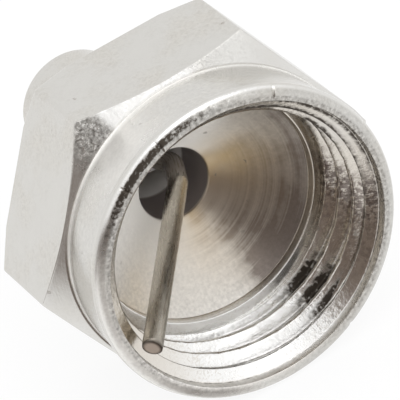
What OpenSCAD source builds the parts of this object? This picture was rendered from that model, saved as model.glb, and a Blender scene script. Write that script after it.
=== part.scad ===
// Coaxial terminator: a turned and plated body with a screw socket, and a load resistor in its tail.
// The origin is the centre of the mouth. The mouth faces -Y and two flats of the hexagon lie level.

/* [Hexagon] */
// Wrench size across the flats
wrench_size = 11.1; // [10.6:0.1:14]
// Length of the hexagon
hex_len = 3.8; // [2.6:0.1:7]
// Diameter of the flat front end that its chamfer leaves round the collar
hex_face_d = 10.9; // [10.8:0.05:11.9]
// Diameter of the flat back end that its corner chamfers leave
hex_back_d = 11.6; // [11.2:0.05:11.9]
// Angle of both chamfers to the end faces
hex_chamfer = 30; // [15:1:40]

/* [Collar] */
// Diameter of the collar at its rim
collar_d = 11.08; // [10.6:0.02:12]
// Diameter of the collar where it meets the hexagon
collar_root_d = 10.7; // [10.4:0.02:11]
// Length of the collar in front of the hexagon
collar_len = 2.4; // [1.8:0.1:5]
// Rounding of the rim's outer edge
rim_round = 0.34; // [0.05:0.01:0.4]
// Width of the flat rim between its outer rounding and the mouth
rim_face = 0.18; // [0.04:0.02:0.4]

/* [Socket] */
// Diameter of the socket's bore, inside the thread's ridges
bore_d = 8.8; // [8.2:0.05:9.4]
// Depth of the straight wall between the rim and the mouth's bevel
mouth_recess = 0.28; // [0.05:0.01:0.5]
// Angle of the mouth's bevel to the axis
mouth_angle = 39; // [30:1:60]
// Depth of the bored part below the rim
socket_depth = 3.1; // [2.4:0.05:4]
// Width of the groove at the end of the thread
relief_w = 0.25; // [0.2:0.01:0.6]
// Depth of that groove into the wall
relief_depth = 0.12; // [0.1:0.02:0.4]
// Step from the bore in to the drilled floor
drill_step = 0.3; // [0.1:0.02:0.6]
// Length of straight wall that the drill leaves under the bore
drill_wall = 0.35; // [0.1:0.05:1]
// Point angle of the drill, which makes the conical floor
drill_point = 113; // [90:1:140]

/* [Tail] */
// Diameter of the tail
tail_d = 3.9; // [3.6:0.1:8]
// Bevel at the end of the tail
tail_bevel = 0.25; // [0.1:0.05:0.4]
// Diameter of the hole through the floor and the tail
hole_d = 2.6; // [2.3:0.05:3]

/* [Load resistor] */
// Diameter of the resistor's ends
resistor_d = 1.9; // [1.5:0.05:2]
// Length of the resistor
resistor_len = 3.9; // [3:0.1:6]
// Diameter of its waist, between the ends
waist_d = 1.6; // [1.2:0.05:1.7]
// Length of each of its thicker ends
cap_len = 0.85; // [0.5:0.05:1.2]
// Bevel round its ends
cap_bevel = 0.22; // [0.1:0.02:0.3]
// Room left between the resistor and the wall that it lies along
resistor_room = 0.05; // [0.02:0.01:0.1]

/* [Leads] */
// Diameter of the wire
wire_d = 0.7; // [0.5:0.05:0.9]
// Radius of the wire's bends, at its centre line
bend_r = 0.7; // [0.6:0.05:0.9]
// How much thicker the wire is in its bends
bend_swell = 0.02; // [0.01:0.01:0.05]
// Straight wire between the resistor and the first bend
front_lead = 0.85; // [0.5:0.05:3]
// Straight wire between the resistor and the solder
rear_lead = 0.6; // [0.2:0.05:3]
// Depth of the first bend below the floor's hole
first_bend = 1.6; // [1.5:0.05:2.5]
// Depth of the second bend below the floor's hole
second_bend = 0.9; // [0.8:0.05:1]
// Sideways kick of the wire between those two bends
side_kick = 0.24; // [0.1:0.02:0.4]
// Height of the last bend above the floor's hole
last_bend = 0.1; // [0:0.05:0.5]
// Distance of the last bend from the axis, on the side away from the pin's tip
last_offset = 0.13; // [0:0.01:0.4]
// Distance from the pin's centre line to the mouth's edge where it leaves the socket
edge_gap = 0.7; // [0.66:0.02:4]
// How far the pin's tip stands out of the mouth
pin_proud = 0.32; // [0:0.02:2]
// Heading of the bent pin, counted from +X as seen from in front of the mouth
pin_heading = 197; // [0:1:359]

/* [Solder] */
// Depth of the solder in the end of the tail
solder_len = 0.8; // [0.4:0.05:1.5]
// Rise of the solder's domed end above the tail
solder_rise = 0.2; // [0.1:0.02:0.3]
// Width of flat solder left round the dome
solder_lip = 0.05; // [0.03:0.01:0.2]
// How far the cut end of the wire stands out of the solder's dome
wire_stub = 0.12; // [0.05:0.01:0.3]

/* [Hidden] */
$fn = 96;
flats = 6;
eps = 0.01;
// Length that a straight stretch of wire runs on into a bend
bend_lap = 0.05;

apothem = wrench_size / 2;
corner_r = apothem / cos(180 / flats);
hex_face_r = hex_face_d / 2;
hex_back_r = hex_back_d / 2;
collar_r = collar_d / 2;
collar_root_r = collar_root_d / 2;
bore_r = bore_d / 2;
drill_r = bore_r - drill_step;
relief_r = bore_r + relief_depth;
mouth_r = collar_r - rim_round - rim_face;
tail_r = tail_d / 2;
hole_r = hole_d / 2;
resistor_r = resistor_d / 2;
waist_r = waist_d / 2;

// Heights along the part's own axis, counted out of the mouth from the rim
bevel_z = -mouth_recess - (mouth_r - bore_r) / tan(mouth_angle);
hex_front_z = -collar_len;
hex_back_z = hex_front_z - hex_len;
floor_z = -socket_depth - drill_wall;
hole_z = floor_z - (drill_r - hole_r) / tan(drill_point / 2);
first_bend_z = hole_z - first_bend;
second_bend_z = hole_z - second_bend;
last_bend_z = hole_z + last_bend;
resistor_front_z = first_bend_z - front_lead;
resistor_back_z = resistor_front_z - resistor_len;
solder_z = resistor_back_z - rear_lead;
tail_end_z = solder_z - solder_len;

// The resistor lies along the hole's wall, on the side away from the pin's tip
resistor_shift = hole_r - resistor_r - resistor_room;
pin_x = mouth_r - edge_gap;
pin_lean = atan2(pin_x + last_offset, -last_bend_z);
tip_x = pin_x + pin_proud * tan(pin_lean);

// Centre line of the front lead in its own plane: distance from the axis, and height
pin_path = [
    [-resistor_shift, resistor_front_z],
    [-resistor_shift, first_bend_z],
    [-resistor_shift - side_kick, second_bend_z],
    [-last_offset, last_bend_z],
    [tip_x, pin_proud]
];

// Angle of a stretch of the wire, from the axis towards the pin's tip
function heading(path, i) = atan2(path[i + 1].x - path[i].x, path[i + 1].y - path[i].y);
function turn(path, i) = heading(path, i) - heading(path, i - 1);
// Length of straight wire that the bend at a point takes from each of its sides
function taken(path, i) = bend_r * tan(abs(turn(path, i)) / 2);

// Turns the part's own axis from +Z to -Y, which lays the part on a flat
module lying() {
    rotate([90, 0, 0]) children();
}

// Places what lies in the bent pin's plane
module in_pin_plane() {
    lying() rotate([0, 0, pin_heading]) children();
}

module hexagon() {
    rim_r = corner_r + eps;
    front_rise = (rim_r - hex_face_r) * tan(hex_chamfer);
    back_rise = (rim_r - hex_back_r) * tan(hex_chamfer);
    intersection() {
        translate([0, 0, hex_back_z]) cylinder(r = corner_r, h = hex_len, $fn = flats);
        rotate_extrude() polygon([
            [0, hex_back_z],
            [hex_back_r, hex_back_z],
            [rim_r, hex_back_z + back_rise],
            [rim_r, hex_front_z - front_rise],
            [hex_face_r, hex_front_z],
            [0, hex_front_z]
        ]);
    }
}

module collar() {
    rotate_extrude() union() {
        polygon([
            [0, hex_front_z - eps],
            [collar_root_r, hex_front_z - eps],
            [collar_r, -rim_round],
            [collar_r - rim_round, 0],
            [0, 0]
        ]);
        translate([collar_r - rim_round, -rim_round]) circle(rim_round);
    }
}

module tail() {
    rotate_extrude() polygon([
        [0, hex_back_z + eps],
        [tail_r, hex_back_z + eps],
        [tail_r, tail_end_z + tail_bevel],
        [tail_r - tail_bevel, tail_end_z],
        [0, tail_end_z]
    ]);
}

// Everything that is cut out along the axis: mouth, bevel, bore, groove, drilled floor and hole
module socket() {
    rotate_extrude() polygon([
        [0, eps],
        [mouth_r, eps],
        [mouth_r, -mouth_recess],
        [bore_r, bevel_z],
        [bore_r, relief_w - socket_depth],
        [relief_r, relief_w - socket_depth],
        [relief_r, -socket_depth],
        [drill_r, -socket_depth],
        [drill_r, floor_z],
        [hole_r, hole_z],
        [hole_r, tail_end_z - eps],
        [0, tail_end_z - eps]
    ]);
}

// Round wire along a flat path: straight stretches, and a bend at each point between them
module wire(path) {
    last = len(path) - 2;
    for (i = [0 : last]) {
        a = heading(path, i);
        start = i > 0 ? taken(path, i) - bend_lap : 0;
        rest = i < last ? taken(path, i + 1) - bend_lap : 0;
        translate([path[i].x + start * sin(a), 0, path[i].y + start * cos(a)])
            rotate([0, a, 0]) cylinder(d = wire_d, h = norm(path[i + 1] - path[i]) - start - rest);
    }
    for (i = [1 : last]) {
        a = heading(path, i - 1);
        side = sign(turn(path, i));
        back = taken(path, i);
        from = side > 0 ? 180 - heading(path, i) : -a;
        translate([
            path[i].x - back * sin(a) + side * bend_r * cos(a),
            0,
            path[i].y - back * cos(a) - side * bend_r * sin(a)
        ])
            rotate([90, 0, 0]) rotate([0, 0, from])
                rotate_extrude(angle = abs(turn(path, i)))
                    translate([bend_r, 0]) circle(d = wire_d + bend_swell);
    }
}

module connector_body() {
    color([0.83, 0.82, 0.79]) lying() difference() {
        union() {
            hexagon();
            collar();
            tail();
        }
        socket();
    }
}

module centre_pin() {
    color([0.62, 0.59, 0.53]) in_pin_plane() wire(pin_path);
}

module load_resistor() {
    shoulder = resistor_r - waist_r;
    color([0.30, 0.26, 0.25]) in_pin_plane() translate([-resistor_shift, 0, resistor_back_z])
        rotate_extrude() polygon([
            [0, 0],
            [resistor_r - cap_bevel, 0],
            [resistor_r, cap_bevel],
            [resistor_r, cap_len],
            [waist_r, cap_len + shoulder],
            [waist_r, resistor_len - cap_len - shoulder],
            [resistor_r, resistor_len - cap_len],
            [resistor_r, resistor_len - cap_bevel],
            [resistor_r - cap_bevel, resistor_len],
            [0, resistor_len]
        ]);
}

module ground_lead() {
    end_z = tail_end_z - solder_rise - wire_stub;
    color([0.62, 0.59, 0.53]) in_pin_plane() translate([-resistor_shift, 0, end_z])
        cylinder(d = wire_d, h = resistor_back_z - end_z);
}

module solder_joint() {
    dome_base = hole_r - solder_lip;
    dome_r = (dome_base * dome_base + solder_rise * solder_rise) / (2 * solder_rise);
    color([0.72, 0.72, 0.71]) in_pin_plane() difference() {
        union() {
            translate([0, 0, tail_end_z]) cylinder(r = hole_r, h = solder_len);
            intersection() {
                // The ball lies with its poles to the sides, clear of the wire
                translate([0, 0, tail_end_z - solder_rise + dome_r]) rotate([0, -90, 0]) sphere(dome_r);
                translate([0, 0, tail_end_z - 2 * solder_rise])
                    cylinder(r = hole_r, h = 2 * solder_rise + eps);
            }
        }
        translate([-resistor_shift, 0, tail_end_z - 3 * solder_rise])
            cylinder(d = wire_d, h = solder_len + 4 * solder_rise);
    }
}

connector_body();
centre_pin();
load_resistor();
ground_lead();
solder_joint();
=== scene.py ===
import math
import bpy
import numpy as np
from mathutils import Matrix, Vector


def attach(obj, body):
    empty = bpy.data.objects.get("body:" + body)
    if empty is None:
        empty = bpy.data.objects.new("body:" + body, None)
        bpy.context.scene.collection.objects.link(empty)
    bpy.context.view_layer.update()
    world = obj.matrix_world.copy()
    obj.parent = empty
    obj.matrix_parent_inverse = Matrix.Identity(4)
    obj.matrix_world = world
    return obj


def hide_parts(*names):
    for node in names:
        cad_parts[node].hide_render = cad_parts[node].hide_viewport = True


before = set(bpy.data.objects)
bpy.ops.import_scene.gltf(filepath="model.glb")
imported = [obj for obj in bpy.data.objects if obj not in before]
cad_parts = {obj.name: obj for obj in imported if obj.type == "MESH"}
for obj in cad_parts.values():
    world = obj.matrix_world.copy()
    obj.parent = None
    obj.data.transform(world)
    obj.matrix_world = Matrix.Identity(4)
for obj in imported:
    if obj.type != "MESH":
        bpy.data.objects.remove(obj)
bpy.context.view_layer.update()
mm = 0.001
tau = 2 * math.pi
print("frame loaded:", sorted(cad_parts))

# number helpers


def smoothNoise(x, seed, waves=5):
    # sum of a few sines with fixed random phases, between about -1 and 1
    rng = np.random.default_rng(seed)
    total = np.zeros_like(np.asarray(x, float))
    for k in range(waves):
        total = total + np.sin((k + 1) * x + rng.uniform(0, tau)) / (k + 1)
    return total / 1.6


def step(x, low, high):
    # smooth rise from 0 at low to 1 at high
    k = np.clip((x - low) / (high - low), 0, 1)
    return k * k * (3 - 2 * k)


def band(x, rise, fall):
    # a smooth rise over one stretch and a smooth fall over another
    return step(x, *rise) * (1 - step(x, *fall))


def bell(x, middle, spread):
    # bell curve: exp(-((x - middle) / spread)^2)
    return np.exp(-(((x - middle) / spread) ** 2))


def apart(degrees, middle):
    # angle from a direction, between -180 and 180 degrees
    return (degrees - middle + 180) % 360 - 180


# mesh helpers


def gridFaces(rows, columns, closeRows, closeColumns):
    # quads between neighbouring rows and columns of a grid of points, wrapped round where it closes
    i = np.arange(rows if closeRows else rows - 1)
    j = np.arange(columns if closeColumns else columns - 1)
    i, j = np.meshgrid(i, j, indexing="ij")
    i2, j2 = (i + 1) % rows, (j + 1) % columns
    corners = [i * columns + j, i * columns + j2, i2 * columns + j2, i2 * columns + j]
    return np.stack(corners, -1).reshape(-1, 4)


def endFans(rows, columns):
    # triangles that close a tube's first and last rings, round two middle points that follow the rings
    j = np.arange(columns)
    j2 = (j + 1) % columns
    first, last, lastRing = rows * columns, rows * columns + 1, (rows - 1) * columns
    return np.concatenate([np.stack([np.full(columns, first), j2, j], 1),
                           np.stack([np.full(columns, last), lastRing + j, lastRing + j2], 1)])


def signedVolume(points, quads):
    # sum of the tetrahedra from the origin to each half of each quad: positive when faces point outwards
    a, b, c, d = (points[quads[:, k]] for k in range(4))
    return float((np.cross(a, b) * c).sum() + (np.cross(a, c) * d).sum()) / 6


def linkObject(name, data):
    # a new object at the origin, in the scene
    made = bpy.data.objects.new(name, data)
    bpy.context.scene.collection.objects.link(made)
    return made


def makePiece(name, points, quads, fans=(), attributes=None, uv=None, material=None, node=None):
    # points in mm; fans are triangles that close the ends of a tube
    points = np.asarray(points, float).reshape(-1, 3)
    fans = np.asarray(fans, int).reshape(-1, 3)
    solid = np.concatenate([quads, np.stack([fans[:, 0], fans[:, 1], fans[:, 2], fans[:, 2]], 1)])
    if signedVolume(points, solid) < 0:
        quads, fans = quads[:, ::-1], fans[:, ::-1]
    mesh = bpy.data.meshes.new(name)
    mesh.from_pydata((points * mm).tolist(), [], quads.tolist() + fans.tolist())
    mesh.polygons.foreach_set("use_smooth", np.ones(len(mesh.polygons), bool))
    for key, values in (attributes or {}).items():
        layer = mesh.attributes.new(key, "FLOAT", "POINT")
        layer.data.foreach_set("value", np.asarray(values, np.float32).ravel())
    if uv is not None:
        corner = np.empty(len(mesh.loops), np.int32)
        mesh.loops.foreach_get("vertex_index", corner)
        layer = mesh.uv_layers.new(name="UVMap")
        layer.data.foreach_set("uv", np.asarray(uv, np.float32).reshape(-1, 2)[corner].ravel())
    mesh.update()
    piece = linkObject(name, mesh)
    mesh.materials.append(material)
    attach(piece, "root")
    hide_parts(node)
    print("made", name, "with", len(points), "points")
    return piece


def rings(r, t, count):
    # one ring, or a stack of them: radius and place along the axis at each angle
    return np.stack(np.broadcast_arrays(r, t, np.zeros(count))[:2], -1).astype(float)


def roundedChain(corners, lengths, steps, hold=0.4, share=0.32):
    # each corner of a ring-by-ring profile becomes a curve that leaves one side and joins the other:
    # (1-s)^2 A + 2 s (1-s) P + s^2 B, with A and B a short way along the two sides,
    # at most a share of the shorter one, and a holding ring outside each
    rows = []
    s = np.linspace(0, 1, steps)[:, None, None]
    for k in range(1, len(corners) - 1):
        p = corners[k]
        before, after = corners[k - 1] - p, corners[k + 1] - p
        longBefore = np.linalg.norm(before, axis=1, keepdims=True)
        longAfter = np.linalg.norm(after, axis=1, keepdims=True)
        reach = np.minimum(lengths[k - 1], share * np.minimum(longBefore, longAfter))
        toA, toB = before / longBefore * reach, after / longAfter * reach
        curve = (1 - s) ** 2 * (p + toA) + 2 * s * (1 - s) * p + s ** 2 * (p + toB)
        rows.append(np.concatenate([(p + toA * (1 + hold))[None], curve, (p + toB * (1 + hold))[None]]))
    return rows


# shader helpers


def newGroup(name, inputs, outputs):
    # a node group whose inputs and outputs are all plain numbers
    group = bpy.data.node_groups.new(name, "ShaderNodeTree")
    for label, value in inputs.items():
        socket = group.interface.new_socket(label, in_out="INPUT", socket_type="NodeSocketFloat")
        socket.default_value = value
    for label in outputs:
        group.interface.new_socket(label, in_out="OUTPUT", socket_type="NodeSocketFloat")
    return group, group.nodes.new("NodeGroupInput"), group.nodes.new("NodeGroupOutput")


def addNode(tree, kind, settings=None, **inputs):
    # a node with its settings and inputs; in0, in1 ... name an input by its number
    node = tree.nodes.new(kind)
    for key, value in (settings or {}).items():
        setattr(node, key, value)
    for key, value in inputs.items():
        feed(tree, node, key.replace("_", " "), value)
    return node


def feed(tree, node, key, value):
    # a socket takes either a link from another socket or a plain value
    socket = node.inputs[int(key[2:])] if key.startswith("in") and key[2:].isdigit() else node.inputs[key]
    if isinstance(value, bpy.types.NodeSocket):
        tree.links.new(value, socket)
    else:
        socket.default_value = value


def maths(tree, operation, a, b=0.0, c=None, clamp=False):
    # one step of arithmetic on two or three numbers, held between 0 and 1 where it is clamped
    node = addNode(tree, "ShaderNodeMath", {"operation": operation, "use_clamp": clamp}, in0=a, in1=b)
    if c is not None:
        feed(tree, node, "in2", c)
    return node.outputs[0]


def times(tree, a, b, clamp=False):  # a * b
    return maths(tree, "MULTIPLY", a, b, clamp=clamp)


def plus(tree, a, b, clamp=False):  # a + b
    return maths(tree, "ADD", a, b, clamp=clamp)


def remap(tree, value, low, high, toLow=0.0, toHigh=1.0, smooth=False):
    # low to high becomes toLow to toHigh, held at both ends
    kind = "SMOOTHSTEP" if smooth else "LINEAR"
    node = addNode(tree, "ShaderNodeMapRange", {"interpolation_type": kind}, Value=value)
    for key, number in (("From Min", low), ("From Max", high), ("To Min", toLow), ("To Max", toHigh)):
        feed(tree, node, key, number)
    return node.outputs["Result"]


def mixColour(tree, amount, a, b):
    # a where the amount is 0, b where it is 1
    node = addNode(tree, "ShaderNodeMix", {"data_type": "RGBA"})
    feed(tree, node, "Factor", amount)
    for index, value in ((6, a), (7, b)):
        feed(tree, node, f"in{index}", value if isinstance(value, bpy.types.NodeSocket) else (*value, 1.0))
    return node.outputs[2]


def noise(tree, output="Fac", dimensions="3D", **inputs):
    # cloudy noise, around 0.5
    return addNode(tree, "ShaderNodeTexNoise", {"noise_dimensions": dimensions}, **inputs).outputs[output]


def mapped(tree, vector, **inputs):
    # a place that is stretched, then turned
    return addNode(tree, "ShaderNodeMapping", Vector=vector, **inputs).outputs[0]


def useGroup(tree, group, **inputs):
    # the outputs of a shared group with this material's own values
    return addNode(tree, "ShaderNodeGroup", {"node_tree": group}, **inputs).outputs


def attributeValue(tree, name):
    # a number that the mesh carries at each point
    return addNode(tree, "ShaderNodeAttribute", {"attribute_name": name}).outputs["Fac"]


def newMaterial(name):
    # an empty material with its node tree and main shader
    material = bpy.data.materials.new(name)
    material.use_nodes = True
    tree = material.node_tree
    return material, tree, tree.nodes["Principled BSDF"]


def addBump(tree, shader, height, strength, reach):
    # a bump in which a height of 1 reaches so many mm
    bump = addNode(tree, "ShaderNodeBump", Strength=strength, Distance=reach * mm, Height=height)
    feed(tree, shader, "Normal", bump.outputs[0])


marksLook = {"broadScale": 0.17, "chatterPerMetre": (7000.0, 1300.0, 7000.0)}


def turningMarks():
    # rings that a lathe tool leaves: noise along one number that grows both outwards and along the axis
    inputs = {"Rings per mm": 12.0, "Broad share": 1.5, "Mask": 1.0}
    group, start, end = newGroup("turningMarks", inputs, ("Height", "Chatter"))
    place = addNode(group, "ShaderNodeTexCoord").outputs["Object"]
    split = addNode(group, "ShaderNodeSeparateXYZ", Vector=place)
    x, y, z = (split.outputs[k] for k in range(3))
    radius = maths(group, "SQRT", plus(group, times(group, x, x), times(group, z, z)))
    along = times(group, plus(group, radius, y), 1 / mm)
    along = times(group, along, start.outputs["Rings per mm"])
    fine = noise(group, dimensions="1D", W=along, Detail=2.0, Roughness=0.6)
    broad = noise(group, dimensions="1D", W=times(group, along, marksLook["broadScale"]))
    both = plus(group, fine, times(group, broad, start.outputs["Broad share"]))
    feed(group, end, "Height", times(group, both, start.outputs["Mask"]))
    # chatter of the tool: short streaks that run along the axis
    drawn = mapped(group, place, Scale=marksLook["chatterPerMetre"])
    feed(group, end, "Chatter", noise(group, Vector=drawn, Scale=1.0, Detail=3.0, Roughness=0.6))
    return group


wearLook = {
    "raggedScale": 9.0, "raggedReach": 0.22, "smallestSpeck": 0.05, "speckRange": 0.16,
    "scratches": (((0.4, 0.9, 0.2), (9.0, 0.35, 9.0)), ((1.1, 0.3, 2.0), (0.4, 11.0, 7.0))),  # turn, stretch
    "scratchLevel": (0.62, 0.72), "cloudScale": 0.55, "scuffScale": 5.5, "scuffTwist": 1.6, "pitScale": 8.0,
}


def handledWear():
    # faults of a handled surface: uneven specks, hairline scratches, broad clouds, fine scuffs and pits,
    # each a noise of its own scale; specks are the cells of a pattern that a share of chance picks
    look = wearLook
    inputs = {"Speck size": 3.0, "Speck share": 0.1}
    group, start, end = newGroup("handledWear", inputs, ("Specks", "Scratches", "Clouds", "Scuffs", "Pits"))
    place = addNode(group, "ShaderNodeTexCoord").outputs["Object"]
    scaled = mapped(group, place, Scale=(1 / mm,) * 3)
    ragged = noise(group, "Color", Vector=scaled, Scale=look["raggedScale"], Detail=3.0)
    moved = addNode(group, "ShaderNodeVectorMath", {"operation": "MULTIPLY_ADD"},
                    in0=ragged, in1=(look["raggedReach"],) * 3, in2=scaled).outputs[0]
    cells = addNode(group, "ShaderNodeTexVoronoi", Vector=moved, Scale=start.outputs["Speck size"])
    chance = addNode(group, "ShaderNodeSeparateColor", Color=cells.outputs["Color"])
    chosen = maths(group, "LESS_THAN", chance.outputs[0], start.outputs["Speck share"])
    size = maths(group, "MULTIPLY_ADD", chance.outputs[1], look["speckRange"], look["smallestSpeck"])
    dot = maths(group, "SUBTRACT", 1.0, maths(group, "DIVIDE", cells.outputs["Distance"], size), clamp=True)
    feed(group, end, "Specks", times(group, chosen, remap(group, dot, 0.0, 0.5)))
    lines = []
    for turn, stretch in look["scratches"]:
        turned = mapped(group, scaled, Rotation=turn, Scale=stretch)
        streak = noise(group, Vector=turned, Scale=1.0, Detail=1.0)
        lines.append(remap(group, streak, *look["scratchLevel"]))
    feed(group, end, "Scratches", maths(group, "MAXIMUM", *lines))
    cloud = noise(group, Vector=scaled, Scale=look["cloudScale"], Detail=4.0, Roughness=0.55)
    feed(group, end, "Clouds", cloud)
    scuffs = noise(group, Vector=scaled, Scale=look["scuffScale"], Detail=5.0, Roughness=0.68,
                   Distortion=look["scuffTwist"])
    feed(group, end, "Scuffs", remap(group, scuffs, 0.3, 0.7))
    pits = noise(group, Vector=scaled, Scale=look["pitScale"], Detail=3.0, Roughness=0.6)
    feed(group, end, "Pits", remap(group, pits, 0.3, 0.7))
    return group


marksGroup = turningMarks()
wearGroup = handledWear()

# several of these colours stand in for light and shade: the dark brown one paints shade and dark reflections,
# the pale frost one paints lit areas, the bright fresh one paints highlights as well as worn metal, and the
# near-black one paints shade in roots, grooves and corners as well as dirt
nickelLook = {
    "plate": (0.665, 0.652, 0.622), "gold": (0.64, 0.575, 0.46), "stain": (0.36, 0.33, 0.29),
    "socketPlate": (0.70, 0.655, 0.59), "tarnish": (0.30, 0.26, 0.235), "frostAndLight": (0.82, 0.80, 0.765),
    "lacquer": (0.70, 0.51, 0.25), "freshAndHighlight": (0.94, 0.935, 0.92), "grimeAndShade": (0.085, 0.072, 0.06),
    "residue": (0.21, 0.18, 0.168),
    "goldShare": 0.2, "mottle": 0.21, "speckSize": 2.0, "speckShare": 0.2, "speckStain": 0.75,
    "edgeClouds": 3.2, "lineThinness": 9.0, "lineFrost": 0.9, "cutDirt": 0.7, "dirtGain": 1.8,
    "frostDulls": 0.95, "dullMetal": 0.9,
    "roughness": 0.17, "wornRoughness": 0.23, "satinRoughness": 0.15, "speckRoughness": 0.2,
    "dirtRoughness": 0.3, "residueRoughness": 0.35,
    "ringsPerMm": 11.0, "broadRings": 1.5, "ringDepth": 0.10, "floorRings": 0.15, "scratchDepth": 0.06,
    "pitDepth": 0.35, "speckDepth": 0.08, "chatterDepth": 1.2, "scrapeDepth": 3.0,
    "bumpStrength": 0.5, "bumpReach": 0.02,
}


def nickelPlate():
    # plate, then over it in turn: the socket's warmer plate, painted shade, frost and painted light, lacquer,
    # bright wear and painted highlights, specks, dirt and painted shade, and old flux, each mixed in by its
    # own attribute or pattern
    look = nickelLook
    material, tree, shader = newMaterial("nickelPlate")
    turned, socket, wornAndHighlight, grimeAndShade = (attributeValue(tree, k) for k in ("turned", "socket", "wornAndHighlight", "grimeAndShade"))
    tint, cutWall, residue, satin = (attributeValue(tree, k) for k in ("tint", "cutWall", "residue", "satin"))
    frostAndLight, tarnish, scrape = (attributeValue(tree, k) for k in ("frostAndLight", "tarnish", "scrape"))
    turning = useGroup(tree, marksGroup, Rings_per_mm=look["ringsPerMm"], Broad_share=look["broadRings"],
                       Mask=turned)
    marks, chatter = turning["Height"], turning["Chatter"]
    wear = useGroup(tree, wearGroup, Speck_size=look["speckSize"], Speck_share=look["speckShare"])
    specks, scratches, clouds = (wear[k] for k in ("Specks", "Scratches", "Clouds"))
    scuffs, pits = wear["Scuffs"], wear["Pits"]

    golden = remap(tree, clouds, 0.45, 0.75, 0.0, look["goldShare"])
    colour = mixColour(tree, golden, look["plate"], look["gold"])
    blotch = times(tree, remap(tree, scuffs, 0.35, 0.8), remap(tree, clouds, 0.35, 0.6))
    colour = mixColour(tree, times(tree, blotch, look["mottle"]), colour, look["stain"])
    colour = mixColour(tree, socket, colour, look["socketPlate"])
    # frost and painted light have cloudy edges: amount + 3.2 (clouds - 0.5) amount (1 - amount)
    spread = maths(tree, "MULTIPLY_ADD", clouds, look["edgeClouds"], -look["edgeClouds"] / 2)
    edge = times(tree, frostAndLight, maths(tree, "SUBTRACT", 1.0, frostAndLight))
    frostAndLight = plus(tree, frostAndLight, times(tree, edge, spread), clamp=True)
    # scraped lines are pale and raised, and follow one level of the scuffs: 1 - 9 |scuffs - 0.5|
    line = maths(tree, "ABSOLUTE", maths(tree, "SUBTRACT", scuffs, 0.5))
    line = times(tree, maths(tree, "MULTIPLY_ADD", line, -look["lineThinness"], 1.0, clamp=True), scrape)
    frostAndLight = maths(tree, "MAXIMUM", frostAndLight, times(tree, line, look["lineFrost"]))
    # painted shade, in dark reflections and shadow on the floor and wall, follows the turning rings and the
    # clouds, and streaks along the cut on the threaded wall
    banded = times(tree, remap(tree, marks, 0.8, 1.6, 0.4, 1.3), remap(tree, clouds, 0.35, 0.6, 0.4, 1.3))
    banded = plus(tree, banded, times(tree, cutWall, remap(tree, chatter, 0.42, 0.62, -0.5, 0.9)))
    colour = mixColour(tree, times(tree, tarnish, banded, clamp=True), colour, look["tarnish"])
    colour = mixColour(tree, frostAndLight, colour, look["frostAndLight"])
    stained = times(tree, tint, remap(tree, clouds, 0.3, 0.65, 0.45, 1.0))
    colour = mixColour(tree, stained, colour, look["lacquer"])
    # bright worn metal, and painted highlights on the rim, the chamfer's top strip and the thread's bottom
    bright = times(tree, wornAndHighlight, remap(tree, scuffs, 0.2, 0.5, 0.5, 1.0))
    colour = mixColour(tree, bright, colour, look["freshAndHighlight"])
    colour = mixColour(tree, times(tree, specks, look["speckStain"]), colour, look["stain"])
    # dirt and painted shade lie unevenly: 1.8 times the grime and shade, uneven, in pits, and along the cut
    # on the threaded wall
    lines = times(tree, cutWall, maths(tree, "SUBTRACT", remap(tree, chatter, 0.35, 0.65), pits))
    uneven = maths(tree, "MULTIPLY_ADD", lines, look["cutDirt"], pits)
    dirtAndShade = times(tree, grimeAndShade, times(tree, uneven, look["dirtGain"]), clamp=True)
    colour = mixColour(tree, dirtAndShade, colour, look["grimeAndShade"])
    colour = mixColour(tree, residue, colour, look["residue"])
    feed(tree, shader, "Base Color", colour)
    dull = maths(tree, "MAXIMUM", residue, times(tree, frostAndLight, look["frostDulls"]))
    feed(tree, shader, "Metallic", maths(tree, "MULTIPLY_ADD", dull, -look["dullMetal"], 1.0))

    plain = look["roughness"]
    rough = remap(tree, clouds, 0.3, 0.7, plain * 0.8, plain * 1.25)
    for mask, more in ((wornAndHighlight, look["wornRoughness"] - plain), (specks, look["speckRoughness"]),
                       (satin, look["satinRoughness"]), (plus(tree, dirtAndShade, frostAndLight), look["dirtRoughness"]),
                       (residue, look["residueRoughness"])):
        rough = plus(tree, rough, times(tree, mask, more))
    feed(tree, shader, "Roughness", rough)

    height = times(tree, marks, maths(tree, "MULTIPLY_ADD", satin, look["floorRings"], look["ringDepth"]))
    for mask, depth in ((scratches, -look["scratchDepth"]), (times(tree, wornAndHighlight, pits), look["pitDepth"]),
                        (specks, -look["speckDepth"]), (times(tree, cutWall, chatter), look["chatterDepth"]),
                        (line, look["scrapeDepth"])):
        height = plus(tree, height, times(tree, mask, depth))
    addBump(tree, shader, height, look["bumpStrength"], look["bumpReach"])
    return material


wireLook = {
    "tin": (0.58, 0.54, 0.47), "dull": (0.25, 0.22, 0.185), "cut": (0.40, 0.33, 0.275),
    "outline": (0.06, 0.05, 0.04), "flux": (0.27, 0.235, 0.20),
    "drawn": (26.0, 1.6, 1.0), "speckSize": 5.0, "speckShare": 0.12, "speckStain": 0.6, "dullShare": 0.4,
    "fluxMetal": 0.85, "roughness": 0.27, "cutRoughness": 0.15, "bumpStrength": 0.35, "bumpReach": 0.01,
}


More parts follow.
